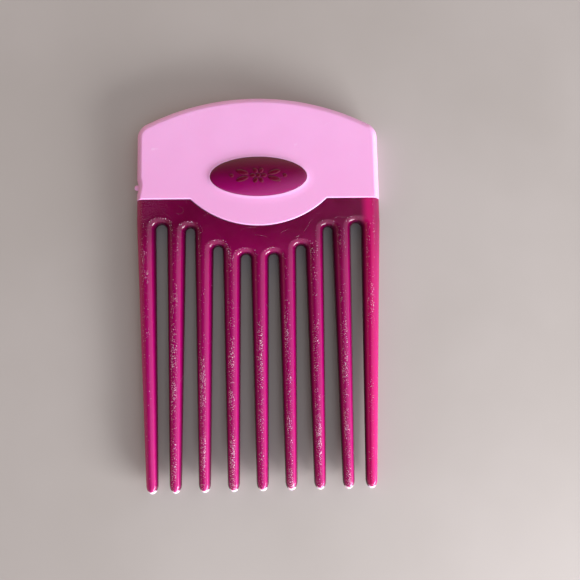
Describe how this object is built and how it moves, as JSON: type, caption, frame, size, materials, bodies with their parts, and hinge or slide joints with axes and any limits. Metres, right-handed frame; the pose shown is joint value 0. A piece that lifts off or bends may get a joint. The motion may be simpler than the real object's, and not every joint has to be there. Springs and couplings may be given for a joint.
{
  "type": "wide tooth comb",
  "caption": "Flat wide tooth pocket comb: long tapered teeth on a clear plastic core, with an opaque arched grip moulded over its spine.",
  "frame": {"origin": "on the rest plane, under the middle of the comb's outline, with the comb lying on the back of its grip", "axes": "+X across the comb to the right seen from the front, +Y from the tooth tips to the crown of the grip, +Z out of the front face"},
  "size_m": [0.0606, 0.0962, 0.0064],
  "materials": {
    "clear_magenta_plastic": "gloss, clear tint",
    "pale_pink_plastic": "satin"
  },
  "bodies": {
    "root": {"comb_core": "clear_magenta_plastic", "grip_overmould": "pale_pink_plastic"}
  },
  "joints": []
}
